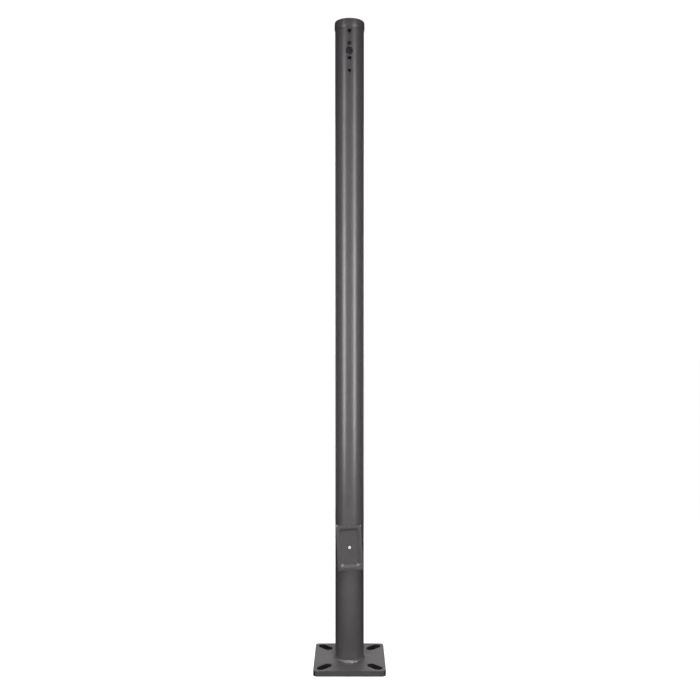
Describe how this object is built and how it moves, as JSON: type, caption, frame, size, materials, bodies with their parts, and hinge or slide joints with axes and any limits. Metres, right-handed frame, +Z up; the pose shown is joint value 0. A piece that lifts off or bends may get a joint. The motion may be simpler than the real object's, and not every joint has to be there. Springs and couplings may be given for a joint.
{
  "type": "round steel light pole",
  "caption": "Straight round steel pole on a slotted anchor base, with a screwed handhole cover, a drilled pattern for a fixture near the top and a slip-over cap.",
  "frame": {"origin": "on the ground, at the middle of the base plate's underside, on the shaft's axis", "axes": "+Z up along the shaft; -Y is the front, where the handhole cover and the drilled pattern are; +X is to the viewer's right"},
  "size_m": [0.25, 0.25, 2.2668],
  "materials": {
    "powder_coat": "satin dark bronze-grey powder coat, fine texture",
    "coated_weld": "the same powder coat over weld ripples",
    "stainless": "plain stainless",
    "zinc_plate": "bright zinc plate",
    "bare_weld": "dark weld metal",
    "tinned_aluminium": "tin-plated",
    "neoprene": "matte",
    "nylon": "moulded"
  },
  "bodies": {
    "pole": {"base_plate": "powder_coat", "shaft": "powder_coat", "base_weld": "coated_weld", "root_weld": "bare_weld", "handhole_rim": "powder_coat", "rim_weld": "bare_weld", "clamp_bar": "zinc_plate", "clamp_nut": "zinc_plate", "ground_boss": "zinc_plate", "boss_weld": "bare_weld", "ground_bolt": "zinc_plate", "ground_washer": "zinc_plate", "ground_lug": "tinned_aluminium", "lug_screw": "zinc_plate"},
    "cap": {"pole_cap": "powder_coat"},
    "cover": {"handhole_cover": "powder_coat", "cover_gasket": "neoprene"},
    "washer": {"screw_washer": "nylon"},
    "screw": {"cover_screw": "stainless", "screw_retainer": "nylon"}
  },
  "joints": [
    {"name": "cap_lift", "type": "slide", "parent": "pole", "child": "cap", "axis": [0, 0, 1], "range_m": [0, 0.06]},
    {"name": "cover_pull", "type": "slide", "parent": "pole", "child": "cover", "axis": [0, -1, 0], "range_m": [0, 0.12]},
    {"name": "screw_back_out", "type": "slide", "parent": "cover", "child": "washer", "axis": [0, -1, 0], "range_m": [0, 0.01143]},
    {"name": "screw_turn", "type": "hinge", "parent": "washer", "child": "screw", "pos_m": [0, -0.0538, 0.4245], "axis": [0, -1, 0], "range_deg": [0, 3240]}
  ],
  "couplings": [
    {"joint": "screw_turn", "follows": "screw_back_out", "rad_per_m": 4947.4}
  ]
}
